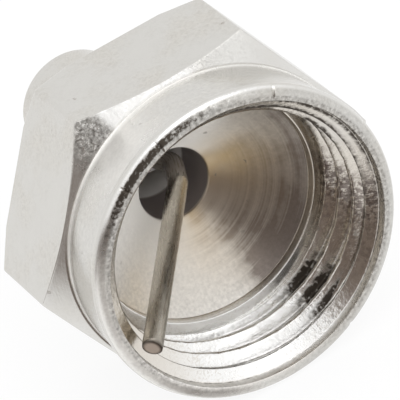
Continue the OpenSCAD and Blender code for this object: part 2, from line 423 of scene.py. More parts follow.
def tinnedWire():
    # dull tin with lines drawn along the wire, a cut end with a dark outline, and old flux in the hole
    look = wireLook
    material, tree, shader = newMaterial("tinnedWire")
    cut, flux, outline = (attributeValue(tree, k) for k in ("cut", "flux", "outline"))
    flat = addNode(tree, "ShaderNodeUVMap", {"uv_map": "UVMap"}).outputs[0]
    lines = noise(tree, Vector=mapped(tree, flat, Scale=look["drawn"]), Scale=1.0, Detail=3.0)
    wear = useGroup(tree, wearGroup, Speck_size=look["speckSize"], Speck_share=look["speckShare"])
    dull = remap(tree, wear["Clouds"], 0.35, 0.7, 0.0, look["dullShare"])
    colour = mixColour(tree, dull, look["tin"], look["dull"])
    colour = mixColour(tree, times(tree, wear["Specks"], look["speckStain"]), colour, look["dull"])
    for mask, key in ((cut, "cut"), (outline, "outline"), (flux, "flux")):
        colour = mixColour(tree, mask, colour, look[key])
    feed(tree, shader, "Base Color", colour)
    feed(tree, shader, "Metallic", maths(tree, "MULTIPLY_ADD", flux, -look["fluxMetal"], 1.0))
    rough = remap(tree, lines, 0.3, 0.7, look["roughness"] * 0.8, look["roughness"] * 1.3)
    feed(tree, shader, "Roughness", plus(tree, rough, times(tree, cut, look["cutRoughness"])))
    addBump(tree, shader, lines, look["bumpStrength"], look["bumpReach"])
    return material


nickel, tinned = nickelPlate(), tinnedWire()

# the connector's body: one closed surface, the same profile carried round the axis,
# whose outer radius follows a hexagon in the middle and whose inner radius follows a screw thread
bodySizes = {
    "wrench": 11.1, "hexLength": 3.8, "hexFace": 10.9, "hexBack": 11.6, "chamferAngle": 30.0,
    "cornerRound": 0.12, "edgeBreak": 0.03, "knock": 0.1, "knockSpread": 5.0,
    "collar": 11.08, "collarRoot": 10.7, "collarLength": 2.4, "collarFlare": 1.5, "rimRound": 0.34,
    "mouth": 10.04, "mouthBreak": 0.03, "mouthRecess": 0.28, "bevelAngle": 55.0, "bevelEnd": -0.56,
    "grooveWidth": 0.06, "grooveDepth": 0.05, "leadAngle": 45.0,
    "bore": 8.8, "pitch": 0.95, "threadDepth": 0.4, "threadStart": -0.048,
    "crestShare": 0.12, "rootShare": 0.39,
    "ridgeWave": 0.03, "ridgeGrain": 0.014, "toolRipple": 0.009, "ripplesPerTurn": 3, "leadFade": 0.03,
    "reliefFront": -2.96, "reliefDepth": 0.12, "reliefSlope": 2.5, "socketDepth": 3.1,
    "drillStep": 0.3, "drillWall": 0.35, "drillPoint": 113.0, "hole": 2.6, "cementFront": -7.2,
    "tail": 3.9, "tailBevel": 0.25, "tailEnd": -13.053,
    "anglesPerSide": 54, "collarSpan": (0.12, 0.92), "collarRows": 9, "rimRows": 14,
    "bevelRows": 6, "bevelGap": 0.03, "grooveRows": 9, "grooveGap": 0.015,
    "threadRows": 84, "leadGap": 0.035, "socketGap": 0.02,
    "nicks": ((109.0, 0.5, 0.06), (62.0, 0.5, 0.05), (128.0, 0.5, 0.03), (20.0, 0.7, 0.03),
              (211.0, 0.7, 0.05), (297.0, 0.6, 0.04)),  # direction and half width in degrees, depth
    "nickSteps": (-1.6, -1.0, -0.5, 0, 0.5, 1.0, 1.6),
    "outRounds": (0.05, 0.06, 0.12, 0.03, 0.05, 0.05, 0.03, 0.025), "mouthRounds": (0.03, 0.02),
    "inRounds": (0.03, 0.04, 0.04, 0.06, 0.05, 0.04),
}

# wear round the body, with painted highlights, painted light and painted shade among it: a base level, then
# the direction, spread and strength of each spot, in degrees round the axis from +X upwards
bodyWear = {
    "scrape": (0, (114, 8, 1)), "faintScrape": (0, (92, 22, 0.4)),
    "collarRootLit": (0.4, (120, 18, 0.55)), "collarLit": (0.1, (119, 13, 0.5)),
    "rimHighlight": (0.2, (95, 35, 1.2)), "rimLit": (0, (200, 42, 0.6)),
    "rimDarkReflection": (0.12, (120, 20, 1.7), (90, 14, 0.2)), "faceDirtAndShade": (0.4, (265, 35, -0.3)),
    "mouthLit": (0, (220, 42, 0.75)), "cornerHighlight": (0, (285, 28, 1)), "cornerLit": (0, (250, 45, 0.6)),
    "cornerShade": (0.8, (62, 46, 0.7)), "recessShade": (0, (48, 44, 2.2)), "grooveShade": (0, (50, 44, 2.6)),
    "wallHighlight": (0, (264, 36, 1.8)), "wallLit": (0, (28, 16, 0.45)),
    "wallReflectedShade": (0, (-14, 9, 1.5), (-34, 16, 0.35)), "reflectionPatch": (0, (300, 9, 1.9)),
    "threadRootShade": (0.2, (40, 26, 0.9)), "crestShade": (0, (42, 25, 2.6)),
    "reliefShade": (0.22, (48, 34, 0.7)),
    "ledge": (0, (258, 50, 1)), "lacquer": (0, (2, 30, 1), (-85, 40, 0.4)), "floorStain": (0, (212, 16, 1)),
    "holeLacquer": (0, (274, 26, 0.5)), "holeShade": (0, (280, 26, 1.2)), "darkSide": (0, (-60, 12, 2.2)),
}

# where the front chamfer is painted bright along the top, as scraped metal and painted highlight, painted in
# shade near the upper corner, and painted a little paler on the left: the degrees over which it rises and
# falls
chamferWear = {"scrapedAndLit": ((76, 86), (112, 116)), "shaded": ((113, 116), (124, 136)),
               "dulledAndLit": ((124, 136), (156, 168))}

# the rim, by its tilt in degrees: 0 on the collar's side, 90 on its flat front
rimWear = {"darkRise": (40, 50), "faceRise": (80, 88), "highlightAt": 30, "highlightSpread": 12, "litRise": (20, 40)}

# painted shade in the thread: shares of a ridge's height, and lengths along the axis in mm
threadWear = {"rootFrom": 0.85, "patchGain": 3.5, "patchLess": 1.2, "patchFront": -0.9, "crestTo": 0.32,
              "besideGroove": 0.08, "besideRecess": 0.05, "endLine": 0.04}

# the drilled floor: directions in degrees, distances from the axis in mm
floorWear = {
    "lacquerOut": 0.1, "lacquerFade": 0.8, "thinFrost": 0.35, "thinFrom": (-150, -115),
    "upperLean": 24, "upperLeanOver": (2.5, 3.4), "lowerLean": 9, "lowerLeanFrom": 2.8, "lowerLeanSpan": 1.2,
    "litUpper": (10, 30), "litLower": (-88, -72), "darkUpper": (-2, 20), "darkLower": (-80, -68),
    "darkOver": (1.9, 2.4), "darkLevel": 0.9, "darkSideOver": (1.5, 2.2), "nearHole": (1.9, 3.0),
    "stainOver": (2.6, 3.0), "stainFrost": 0.3, "stainTint": 0.4, "margin": 0.01, "above": 0.05, "below": 0.1,
}


def wearLevel(degrees, key):
    # base level + strength * bell curve round each direction
    base, *spots = bodyWear[key]
    return base + sum(strength * bell(apart(degrees, way), 0, spread) for way, spread, strength in spots)


def bodyPlaces(size):
    # radii, and places along the axis from the rim, that follow from the sizes
    at = {k + "R": size[k] / 2 for k in ("bore", "tail", "hole", "collar", "collarRoot", "mouth")}
    at["front"] = -size["collarLength"]
    at["back"] = at["front"] - size["hexLength"]
    at["rimT"] = -size["rimRound"]
    at["grooveEnd"] = size["bevelEnd"] - size["grooveWidth"]
    at["reliefR"] = at["boreR"] + size["reliefDepth"]
    at["drillR"] = at["boreR"] - size["drillStep"]
    at["floorT"] = -size["socketDepth"] - size["drillWall"]
    at["holeT"] = at["floorT"] - (at["drillR"] - at["holeR"]) / math.tan(math.radians(size["drillPoint"] / 2))
    return at


def hexRadius(angle, size):
    # distance from the axis to a hexagon with corners at 0, 60, 120 ... degrees, each corner an arc
    apothem, arc = size["wrench"] / 2, size["cornerRound"]
    off = (angle + math.pi / 6) % (math.pi / 3) - math.pi / 6  # angle from the nearest corner
    flat = apothem / np.cos(math.pi / 6 - np.abs(off))
    centre = apothem / math.cos(math.pi / 6) - arc / math.sin(math.pi / 3)
    edge = math.atan2(arc / 2, centre + arc * math.cos(math.pi / 6))
    arcReach = centre * np.cos(off) + np.sqrt(np.maximum(arc ** 2 - (centre * np.sin(off)) ** 2, 0))
    return np.where(np.abs(off) < edge, arcReach, flat), edge


def bodyAngles(size):
    # angles round the axis: even along each flat, closer at the hexagon's corners and the nicks in the rim
    sixth = math.pi / 3
    edge = hexRadius(np.zeros(1), size)[1]
    corner = np.array([0, 0.5, 1.0, 1.5]) * edge
    flat = np.linspace(3 * edge, sixth - 3 * edge, size["anglesPerSide"])
    side = np.concatenate([corner, flat, sixth - corner[:0:-1]])
    closer = np.radians([way + width * k for way, width, depth in size["nicks"] for k in size["nickSteps"]])
    angle = np.concatenate([side + k * sixth for k in range(6)] + [closer])
    return np.unique(np.round(angle, 5))


def collarRings(size, at, count):
    # the collar widens towards its rim: root + (rim - root) share^flare
    share = np.linspace(*size["collarSpan"], size["collarRows"])[:, None]
    wider = at["collarR"] - at["collarRootR"]
    return rings(at["collarRootR"] + wider * share ** size["collarFlare"],
                 at["front"] + (at["rimT"] - at["front"]) * share, count)


def rimRings(size, at, degrees):
    # part of a circle from the collar's side to its flat front, pressed in by a few nicks
    lean = math.atan2(size["collarFlare"] * (at["collarR"] - at["collarRootR"]), at["rimT"] - at["front"])
    arc = np.linspace(-lean, math.pi / 2, size["rimRows"])[:, None]
    nicks = [depth * bell(apart(degrees, way), 0, width) for way, width, depth in size["nicks"]]
    r = size["rimRound"] - np.max(nicks, axis=0) * np.sin(np.maximum(arc, 0)) ** 0.5
    out, forward = at["collarR"] - size["rimRound"] + r * np.cos(arc), r * np.sin(arc) - size["rimRound"]
    return np.stack([out, forward], -1), np.degrees(arc)


def socketWall(size, at, angle):
    # radius of the wall: the mouth's bevel, a narrow groove, then the widest of lead-in, ridges and relief
    bevelEnd, grooveEnd, boreR = size["bevelEnd"], at["grooveEnd"], at["boreR"]
    stretches = ((-size["mouthRecess"] - size["bevelGap"], bevelEnd + size["bevelGap"], size["bevelRows"]),
                 (bevelEnd + size["grooveGap"], grooveEnd - size["grooveGap"], size["grooveRows"]),
                 (grooveEnd - size["leadGap"], size["socketGap"] - size["socketDepth"], size["threadRows"]))
    t = np.concatenate([np.linspace(*stretch) for stretch in stretches])[:, None]
    # the ridges: a triangle wave of the screw's turn, cut off at crest and root, with grain and tool ripple
    wave = size["ridgeWave"] * smoothNoise(angle * 3, 3, 7)
    turn = (t - size["threadStart"] + wave) / size["pitch"] - angle / tau
    ridge = 1 - np.abs(2 * (turn - np.floor(turn)) - 1)
    ridge = np.clip((ridge - size["crestShare"]) / (1 - size["crestShare"] - size["rootShare"]), 0, 1)
    grain = smoothNoise(angle * 11 + 9 * t, 8, 6) + 0.6 * smoothNoise(angle * 37 - 5 * t, 4, 6)
    grain = size["ridgeGrain"] * grain * (1 - ridge)
    ripple = np.cos(size["ripplesPerTurn"] * tau * turn + 2 * smoothNoise(angle * 5 + t, 6, 5))
    depth = size["threadDepth"] * ridge
    threadR = boreR + depth + grain + np.maximum(size["toolRipple"] * ripple, -depth)
    bevel, lead = (math.tan(math.radians(size[k])) for k in ("bevelAngle", "leadAngle"))
    bevelR = at["mouthR"] + (t + size["mouthRecess"]) * bevel
    edgeR = at["mouthR"] + (bevelEnd + size["mouthRecess"]) * bevel
    leadR = edgeR + (t - grooveEnd) * lead
    reliefR = at["reliefR"] - np.maximum(0, t - size["reliefFront"]) * size["reliefSlope"]
    behind = np.maximum.reduce(np.broadcast_arrays(threadR, leadR, reliefR, boreR))
    inGroove = np.clip(1 - np.abs(t - (bevelEnd + grooveEnd) / 2) / (size["grooveWidth"] / 2), 0, 1)
    r = np.where(t > bevelEnd, bevelR, np.where(t > grooveEnd, edgeR, behind))
    r = r + size["grooveDepth"] * inGroove
    inThread = np.clip((threadR - leadR) / size["leadFade"], 0, 1) * (t < grooveEnd)
    return rings(r, t, len(angle)), {"t": t, "ridge": ridge, "inGroove": inGroove, "inThread": inThread}


def wallShade(size, at, wall, degrees):
    # painted shade on the wall, the strongest of: shade in the thread's roots, dark patches of painted
    # reflection, dark lines along its crests, the groove behind the bevel, the corners beside it, and the
    # line where the thread ends
    wear = threadWear
    t, ridge, inThread = wall["t"], wall["ridge"], wall["inThread"]
    inRoot = np.clip((ridge - wear["rootFrom"]) / (1 - wear["rootFrom"]), 0, 1) * inThread
    onCrest = np.clip(1 - ridge / wear["crestTo"], 0, 1) * inThread
    # dark patches on the ridges: a painted reflection of dark surroundings
    reflectionPatch = np.clip(wear["patchGain"] * ridge - wear["patchLess"], 0, 1) * (t < wear["patchFront"])
    groove = bell(t, (size["bevelEnd"] + at["grooveEnd"]) / 2, wear["besideGroove"])
    recess = bell(t, -size["mouthRecess"] - size["bevelGap"], wear["besideRecess"])
    ending = bell(t, size["reliefFront"], wear["endLine"])
    return np.maximum.reduce(np.broadcast_arrays(
        wearLevel(degrees, "threadRootShade") * inRoot, wearLevel(degrees, "crestShade") * onCrest,
        wearLevel(degrees, "reflectionPatch") * reflectionPatch, wearLevel(degrees, "reliefShade") * ending,
        wearLevel(degrees, "cornerShade") * np.minimum(1, 2 * wall["inGroove"]),
        wearLevel(degrees, "grooveShade") * groove + wearLevel(degrees, "recessShade") * recess))


def floorLooks(looks, at, radius, along, degrees, inner):
    # the drilled floor: old lacquer beside the hole, a pale side painted as lit, and a dark side of painted
    # reflection and shadow
    wear, margin = floorWear, floorWear["margin"]
    way = apart(degrees, 0)
    floor = inner & (along < at["floorT"] + wear["above"]) & (along > at["holeT"] - wear["below"])
    between = (radius > at["holeR"] + margin) & (radius < at["drillR"] - margin)
    satin = (inner & (along < at["floorT"]) & between).astype(float)
    # both edges of the dark side lean with the radius
    upper = way - wear["upperLean"] * step(radius, *wear["upperLeanOver"])
    lower = way + wear["lowerLean"] * np.clip((wear["lowerLeanFrom"] - radius) / wear["lowerLeanSpan"], 0, 1)
    below = (1 - wear["thinFrost"] * step(way, *wear["thinFrom"])) * (1 - step(lower, *wear["litLower"]))
    pale = np.where(way > 0, step(upper, *wear["litUpper"]), below)
    stain = satin * wearLevel(degrees, "floorStain") * step(radius, *wear["stainOver"])
    nearHole = satin * (1 - step(radius, *wear["nearHole"]))
    lacquer = bell(radius, at["holeR"] + wear["lacquerOut"], wear["lacquerFade"]) * floor
    tint = np.maximum(wearLevel(degrees, "lacquer") * lacquer, wear["stainTint"] * stain)
    tint = np.maximum(tint, wearLevel(degrees, "holeLacquer") * nearHole)
    # the dark side paints a reflection of the shade in front of the mouth, and the darkening near the hole
    # paints a shadow
    dark = step(way, *wear["darkLower"]) * (1 - step(upper, *wear["darkUpper"]))
    dark = wear["darkLevel"] * dark * step(radius, *wear["darkOver"])
    darker = wearLevel(degrees, "darkSide") * step(radius, *wear["darkSideOver"])
    tarnish = satin * (dark + darker) + nearHole * wearLevel(degrees, "holeShade")
    frostAndLight = np.maximum(looks["frostAndLight"], satin * pale * (1 - wear["stainFrost"] * stain))
    tarnish = np.maximum(tarnish, looks["cutWall"] * wearLevel(degrees, "wallReflectedShade"))
    return {"satin": satin, "tint": tint, "frostAndLight": frostAndLight, "tarnish": tarnish}


def buildBody():
    # x = r cos(angle), y = -t, z = r sin(angle), for each ring (r, t) of the profile
    size, at = bodySizes, bodyPlaces(bodySizes)
    angle = bodyAngles(size)
    degrees, count = np.degrees(angle), len(angle)
    front, back, end = at["front"], at["back"], size["tailEnd"]
    hexR = hexRadius(angle, size)[0] - size["knock"] * bell(apart(degrees, 0), 0, size["knockSpread"])
    faceR, backR = (np.minimum(size[k] / 2, hexR - size["edgeBreak"]) for k in ("hexFace", "hexBack"))
    drop, backDrop = ((hexR - r) * math.tan(math.radians(size["chamferAngle"])) for r in (faceR, backR))
    collar = collarRings(size, at, count)
    rim, tilt = rimRings(size, at, degrees)
    wall, wallMasks = socketWall(size, at, angle)

    # corners of the profile: the outside from the tail's end to the collar's root, the mouth, the inside
    outside = [rings(r, t, count) for r, t in (
        (at["tailR"] - size["tailBevel"], end), (at["tailR"], end + size["tailBevel"]), (at["tailR"], back),
        (backR, back), (hexR, back + backDrop), (hexR, front - drop), (faceR, front),
        (at["collarRootR"], front))]
    mouth = [rings(r, t, count) for r, t in (
        (at["mouthR"] + size["mouthBreak"], 0), (at["mouthR"], -size["mouthRecess"]))]
    inside = [rings(r, t, count) for r, t in (
        (at["reliefR"], -size["socketDepth"]), (at["drillR"], -size["socketDepth"]),
        (at["drillR"], at["floorT"]), (at["holeR"], at["holeT"]), (at["holeR"], size["cementFront"]),
        (at["holeR"], end))]
    outRows = roundedChain([inside[-1]] + outside + [collar[0]], size["outRounds"], 5)
    mouthRows = roundedChain([rim[-1]] + mouth + [wall[0]], size["mouthRounds"], 4)
    inRows = roundedChain([wall[-1]] + inside + [outside[0]], size["inRounds"], 5)

    def level(key):  # round this body's angles
        return wearLevel(degrees, key)

    ease = np.linspace(0, 1, len(outRows[0]))[:, None]  # across the rings of one corner
    across = np.linspace(-1, 1, len(mouthRows[1]))[:, None]
    # the chamfer's top strip is painted bright as a highlight on scraped metal, its upper corner painted in
    # shade and its left side painted a little paler
    scrapedAndLit, shaded, dulledAndLit = (band(degrees, *chamferWear[k]) for k in ("scrapedAndLit", "shaded", "dulledAndLit"))
    chamferLit = 0.55 * scrapedAndLit + 0.12 * dulledAndLit
    scrape = np.maximum(level("scrape"), level("faintScrape"))
    onFace = step(tilt, *rimWear["faceRise"])
    # the dark band on the rim's rounding is a painted reflection, and its flat front is darkened as dirt and
    # painted shade
    rimDarkReflection = step(tilt, *rimWear["darkRise"]) * (1 - onFace) * level("rimDarkReflection") + onFace * level("faceDirtAndShade")
    # a painted highlight: a bright line across the rim's rounding at a tilt near 30 degrees, strongest on top
    rimHighlight = bell(tilt, rimWear["highlightAt"], rimWear["highlightSpread"]) * level("rimHighlight")
    rimLit = step(tilt, *rimWear["litRise"]) * level("rimLit")
    # painted shade in the mouth's inner corner, lighter where the bottom is painted bright
    cornerShade = level("cornerShade") * (1 - 0.7 * level("cornerHighlight")) * bell(across, 0, 0.7)
    ledge = level("ledge")
    # each run of rings, with how far it is turned, inside the socket, worn bright and painted with
    # highlights, grimy and painted with shade, streaked by the cut, under old flux, frosted and painted as
    # lit, and scraped; what isn't named is 0
    runs = [
        (outRows[0], {"turned": 1}),
        (outRows[1], {"turned": 1}),
        (outRows[2], {"turned": 1, "grimeAndShade": 0.2 * np.sin(math.pi * ease)}),
        (outRows[3], {"turned": 1, "wornAndHighlight": 0.3}),
        (outRows[4], {"turned": 0.5 * (1 - ease), "wornAndHighlight": 0.3 * (1 - ease)}),
        (outRows[5], {"turned": 0.5 * ease, "wornAndHighlight": ease * (0.3 + 1.2 * scrapedAndLit),
                      "grimeAndShade": ease * 0.5 * shaded, "frostAndLight": ease * chamferLit,
                      "scrape": (ease > 0.45) * scrape}),
        (outRows[6], {"turned": 1, "wornAndHighlight": 0.25 + 1.3 * scrapedAndLit, "grimeAndShade": 0.5 * shaded,
                      "frostAndLight": chamferLit, "scrape": scrape}),
        # the pale, less metallic frost set by direction here and below paints light onto the collar, its
        # root, the rim, the mouth and the thread's right side
        (outRows[7], {"turned": 1, "wornAndHighlight": 0.4, "frostAndLight": level("collarRootLit")}),
        (collar, {"turned": 1, "grimeAndShade": 0.06, "frostAndLight": level("collarLit")}),
        (rim, {"turned": 1, "wornAndHighlight": rimHighlight, "grimeAndShade": rimDarkReflection, "frostAndLight": rimLit}),
        (mouthRows[0], {"turned": 1, "socket": 0.3, "wornAndHighlight": 0.1, "grimeAndShade": level("faceDirtAndShade"),
                        "frostAndLight": level("mouthLit")}),
        (mouthRows[1], {"turned": 1, "socket": 0.6, "wornAndHighlight": level("cornerHighlight"), "grimeAndShade": cornerShade,
                        "frostAndLight": level("cornerLit")}),
        (wall, {"turned": 0.6, "socket": 1, "wornAndHighlight": level("wallHighlight"), "cutWall": 1,
                "grimeAndShade": wallShade(size, at, wallMasks, degrees), "frostAndLight": level("wallLit")}),
        # the ledge is brighter towards the bottom and darker elsewhere
        (inRows[0], {"turned": 1, "socket": 1, "wornAndHighlight": 1.2 * ledge, "grimeAndShade": 0.3 * (1 - ledge)}),
        (inRows[1], {"turned": 1, "socket": 1, "wornAndHighlight": 1.5 * ledge, "frostAndLight": 0.2 * ledge}),
        (inRows[2], {"turned": 1, "socket": 1, "grimeAndShade": 0.15}),
        (inRows[3], {"turned": 1, "socket": 1, "residue": ease ** 2}),
        (inRows[4], {"turned": 1, "socket": 1, "residue": 1 - ease, "frostAndLight": ease}),
        (inRows[5], {"turned": 1, "socket": 1 - ease}),
    ]
    profile = np.concatenate([rows for rows, given in runs])
    looks = {k: np.concatenate([np.broadcast_to(given.get(k, 0.0), rows.shape[:2]) for rows, given in runs])
             for k in ("turned", "socket", "wornAndHighlight", "grimeAndShade", "cutWall", "residue", "frostAndLight", "scrape")}
    radius, along = profile[..., 0], profile[..., 1]
    looks["turned"] = np.where(np.abs(radius - hexR) < 1e-6, 0.0, looks["turned"])  # the flats are milled
    inner = np.arange(len(profile))[:, None] >= len(profile) - sum(len(rows) for rows in inRows)
    looks.update(floorLooks(looks, at, radius, along, degrees, inner))
    points = np.stack([radius * np.cos(angle), -along, radius * np.sin(angle)], -1)
    return makePiece("connectorBody", points, gridFaces(len(profile), count, True, True), attributes=looks,
                     material=nickel, node="connector_body")


buildBody()

# wires: a circle carried along a flat path of straight stretches and bends, closed by a cut end
wireSizes = {
    "diameter": 0.7, "bend": 0.7, "heading": 197.0, "shift": 0.3, "kick": 0.24, "lastOffset": 0.13,
    "resistorFront": -7.753, "firstBend": -6.903, "secondBend": -6.203, "lastBend": -5.203,
    "tip": (4.594, 0.32),
    "resistorBack": -11.653, "stubEnd": -13.373, "fluxTop": -5.0, "fluxFade": 0.5,
    "edge": 0.045, "dish": 0.008, "flattened": 0.02, "pinTilt": 0.03, "stubTilt": 0.05,
    "around": 40, "spacing": 0.16, "bendSteps": 9,
}


def toPart(across, side, along, heading):
    # from the pin's plane to the part: distance from the axis, sideways distance, height out of the mouth
    a = math.radians(heading)
    x, z = across * math.cos(a) - side * math.sin(a), across * math.sin(a) + side * math.cos(a)
    return np.stack([x, -along, z], -1)


def bentPath(corners, bend, spacing, bendSteps):
    # straight stretches joined by arcs of the given radius, as points a spacing apart with their directions
    corners = [np.array(c, float) for c in corners]
    places, ways = [], []

    def straight(a, b):  # a + (b - a) share, without its last point
        steps = max(2, int(np.linalg.norm(b - a) / spacing))
        places.append(a + (b - a) * np.linspace(0, 1, steps, endpoint=False)[:, None])
        ways.append(np.tile((b - a) / np.linalg.norm(b - a), (steps, 1)))

    at = corners[0]
    for k in range(1, len(corners) - 1):
        into = corners[k] - corners[k - 1]
        out = corners[k + 1] - corners[k]
        into, out = into / np.linalg.norm(into), out / np.linalg.norm(out)
        turn = math.atan2(into[0] * out[1] - into[1] * out[0], into @ out)
        taken = bend * math.tan(abs(turn) / 2)
        start = corners[k] - into * taken
        straight(at, start)
        middle = start + bend * np.sign(turn) * np.array([-into[1], into[0]])
        sweep = turn * np.linspace(0, 1, bendSteps, endpoint=False)[:, None]
        arm = start - middle
        places.append(middle + arm * np.cos(sweep) + np.array([-arm[1], arm[0]]) * np.sin(sweep))
        ways.append(into * np.cos(sweep) + np.array([-into[1], into[0]]) * np.sin(sweep))
        at = corners[k] + out * taken
    straight(at, corners[-1])
    places.append(corners[-1][None])
    ways.append(ways[-1][-1:])
    return np.concatenate(places), np.concatenate(ways)


def buildWire(name, corners, node, cutTilt):
    # rings round the path, slightly flattened here and there, then a cut end:
    # rings that shrink over a small rounded edge and over a dished, tilted face to its middle
    size = wireSizes
    radius, edge = size["diameter"] / 2, size["edge"]
    place, way = bentPath(corners, size["bend"], size["spacing"], size["bendSteps"])
    length = np.concatenate([[0], np.cumsum(np.linalg.norm(np.diff(place, axis=0), axis=1))])
    around = np.linspace(0, tau, size["around"], endpoint=False)
    side = np.stack([-way[:, 1], way[:, 0]], 1)  # across the wire, in its plane
    dents = np.abs(smoothNoise(length * 1.7, 5))[:, None] * (1 + np.cos(2 * around + 0.7)) / 2
    ringR = radius * (1 - size["flattened"] * dents)
    capR = np.array([radius - edge * 0.3, radius - edge, radius * 0.6, radius * 0.25])
    capT = np.array([-edge * 0.35, 0.0, size["dish"], 0.0])
    main, caps = len(place) - 1, len(capR)
    ringPlace = np.concatenate([place[:-1], place[-1] + capT[:, None] * way[-1]])
    ringSide, ringWay = (np.concatenate([v[:-1], np.tile(v[-1], (caps, 1))]) for v in (side, way))
    ringR = np.concatenate([ringR[:-1], np.tile(capR[:, None], (1, len(around)))])
    tilt = np.concatenate([np.zeros(main), capR / radius])[:, None] * cutTilt * np.cos(around)
    flat = ringPlace[:, None] + ringSide[:, None] * (ringR * np.cos(around))[..., None]
    flat = flat + ringWay[:, None] * tilt[..., None]
    points = toPart(flat[..., 0], ringR * np.sin(around), flat[..., 1], size["heading"])
    ends = place[[0, -1]]
    middles = toPart(ends[:, 0], np.zeros(2), ends[:, 1], size["heading"])
    rows, columns = points.shape[:2]

    def perPoint(perRing, first, last):
        # one value for each ring, then those of the two middles
        return np.concatenate([np.repeat(perRing, columns), [first, last]])

    cut = perPoint(np.concatenate([np.zeros(main), [0.35, 1, 1, 1]]), 0, 1)
    darkEdge = [0.25, 0.9, 0.75, 0, 0]  # from the last ring of the side to the middle of the cut
    outline = perPoint(np.concatenate([np.zeros(main - 1), darkEdge]), 0, 0)
    flux = 1 - step(ringPlace[:, 1], size["fluxTop"] - size["fluxFade"], size["fluxTop"])
    flux = perPoint(flux, flux[0], flux[-1]) * (ringPlace[-1, 1] > size["resistorFront"])
    v = perPoint(np.concatenate([length[:-1], np.full(caps, length[-1])]), 0, length[-1])
    u = np.concatenate([np.tile(around / tau, rows), [0.5, 0.5]])
    points = np.concatenate([points.reshape(-1, 3), middles])
    return makePiece(name, points, gridFaces(rows, columns, False, True), endFans(rows, columns),
                     {"cut": cut, "outline": outline, "flux": flux}, np.stack([u, v], 1),
                     tinned, node)


pinCorners = [(-wireSizes["shift"], wireSizes["resistorFront"]),
              (-wireSizes["shift"], wireSizes["firstBend"]),
              (-wireSizes["shift"] - wireSizes["kick"], wireSizes["secondBend"]),
              (-wireSizes["lastOffset"], wireSizes["lastBend"]), wireSizes["tip"]]
leadCorners = [(-wireSizes["shift"], wireSizes["resistorBack"]), (-wireSizes["shift"], wireSizes["stubEnd"])]
buildWire("centrePin", pinCorners, "centre_pin", wireSizes["pinTilt"])
buildWire("groundLead", leadCorners, "ground_lead", wireSizes["stubTilt"])

# the load resistor: a coated body with a thicker end over each cap, turned about its own line
resistorSizes = {
    "end": 1.9, "waist": 1.6, "length": 3.9, "capLength": 0.85, "dipFrom": 0.75, "dipSpan": 0.6, "round": 0.2,
    "around": 56, "rows": 64,
}
resistorLook = {
    "coat": (0.34, 0.29, 0.25), "darker": 0.7, "litCement": (0.74, 0.69, 0.69), "litCementFrom": (0.955, 0.975),
    "bands": ((0.17, (0.16, 0.05, 0.22)), (0.36, (0.05, 0.22, 0.07)),
              (0.53, (0.015, 0.015, 0.015)), (0.80, (0.42, 0.29, 0.08))),  # place along the body, paint
    "bandEdge": (0.045, 0.055), "speckSize": 6.0, "speckShare": 0.06, "roughness": (0.28, 0.45),
}


def resistorCoat():
    # a cloudy coat with painted bands, and pale cement on its front end, painted pale to stand in for light
    # falling there
    look = resistorLook
    material, tree, shader = newMaterial("resistorCoat")
    along = attributeValue(tree, "along")
    clouds = useGroup(tree, wearGroup, Speck_size=look["speckSize"], Speck_share=look["speckShare"])["Clouds"]
    darker = tuple(look["darker"] * c for c in look["coat"])
    colour = mixColour(tree, remap(tree, clouds, 0.35, 0.7, 0.0, 0.4), look["coat"], darker)
    for place, paint in look["bands"]:
        away = maths(tree, "ABSOLUTE", maths(tree, "SUBTRACT", along, place))
        colour = mixColour(tree, remap(tree, away, *look["bandEdge"], 1.0, 0.0), colour, paint)
    # the pale front end stands in for light falling on it
    colour = mixColour(tree, remap(tree, along, *look["litCementFrom"]), colour, look["litCement"])
    feed(tree, shader, "Base Color", colour)
    feed(tree, shader, "Roughness", remap(tree, clouds, 0.3, 0.7, *look["roughness"]))
    addBump(tree, shader, clouds, 0.3, 0.02)
    return material


def buildResistor():
    # radius along the body: full over each end, a smooth dip to the waist, quarter circles at both ends
    size = resistorSizes
    share = np.linspace(0, 1, size["rows"])
    x = share * size["length"]
    fromEnd = np.minimum(x, size["length"] - x)
    dip = (fromEnd - size["capLength"] * size["dipFrom"]) / (size["capLength"] * size["dipSpan"])
    r = size["end"] / 2 - (size["end"] - size["waist"]) / 2 * step(dip, 0, 1)
    corner = np.clip(1 - fromEnd / size["round"], 0, 1)
    r = r - size["round"] * (1 - np.sqrt(np.maximum(1 - corner ** 2, 0)))
    around = np.linspace(0, tau, size["around"], endpoint=False)
    across = -wireSizes["shift"] + r[:, None] * np.cos(around)
    along = np.broadcast_to((wireSizes["resistorBack"] + x)[:, None], across.shape)
    points = toPart(across, r[:, None] * np.sin(around), along, wireSizes["heading"])
    ends = toPart(np.full(2, -wireSizes["shift"]), np.zeros(2), along[[0, -1], 0], wireSizes["heading"])
    rows, columns = across.shape
    return makePiece("loadResistor", np.concatenate([points.reshape(-1, 3), ends]),
                     gridFaces(rows, columns, False, True), endFans(rows, columns),
                     {"along": np.concatenate([np.repeat(share, columns), [0, 1]])}, None,
                     resistorCoat(), "load_resistor")


buildResistor()

# solder in the tail's end: a ring between the lead and the hole, domed outwards and drawn up the lead
solderSizes = {
    "inner": -12.253, "outer": -13.053, "rise": 0.17, "climb": 0.1, "climbSpread": 0.16, "ripple": 0.02,
    "wallGap": 0.004, "leadOverlap": 0.01, "around": 64, "rows": 14,
}
solderLook = {"tin": (0.56, 0.55, 0.52), "grey": (0.36, 0.355, 0.34), "speckSize": 7.0, "speckShare": 0.2,
              "speckStain": 0.5, "roughness": (0.22, 0.5)}


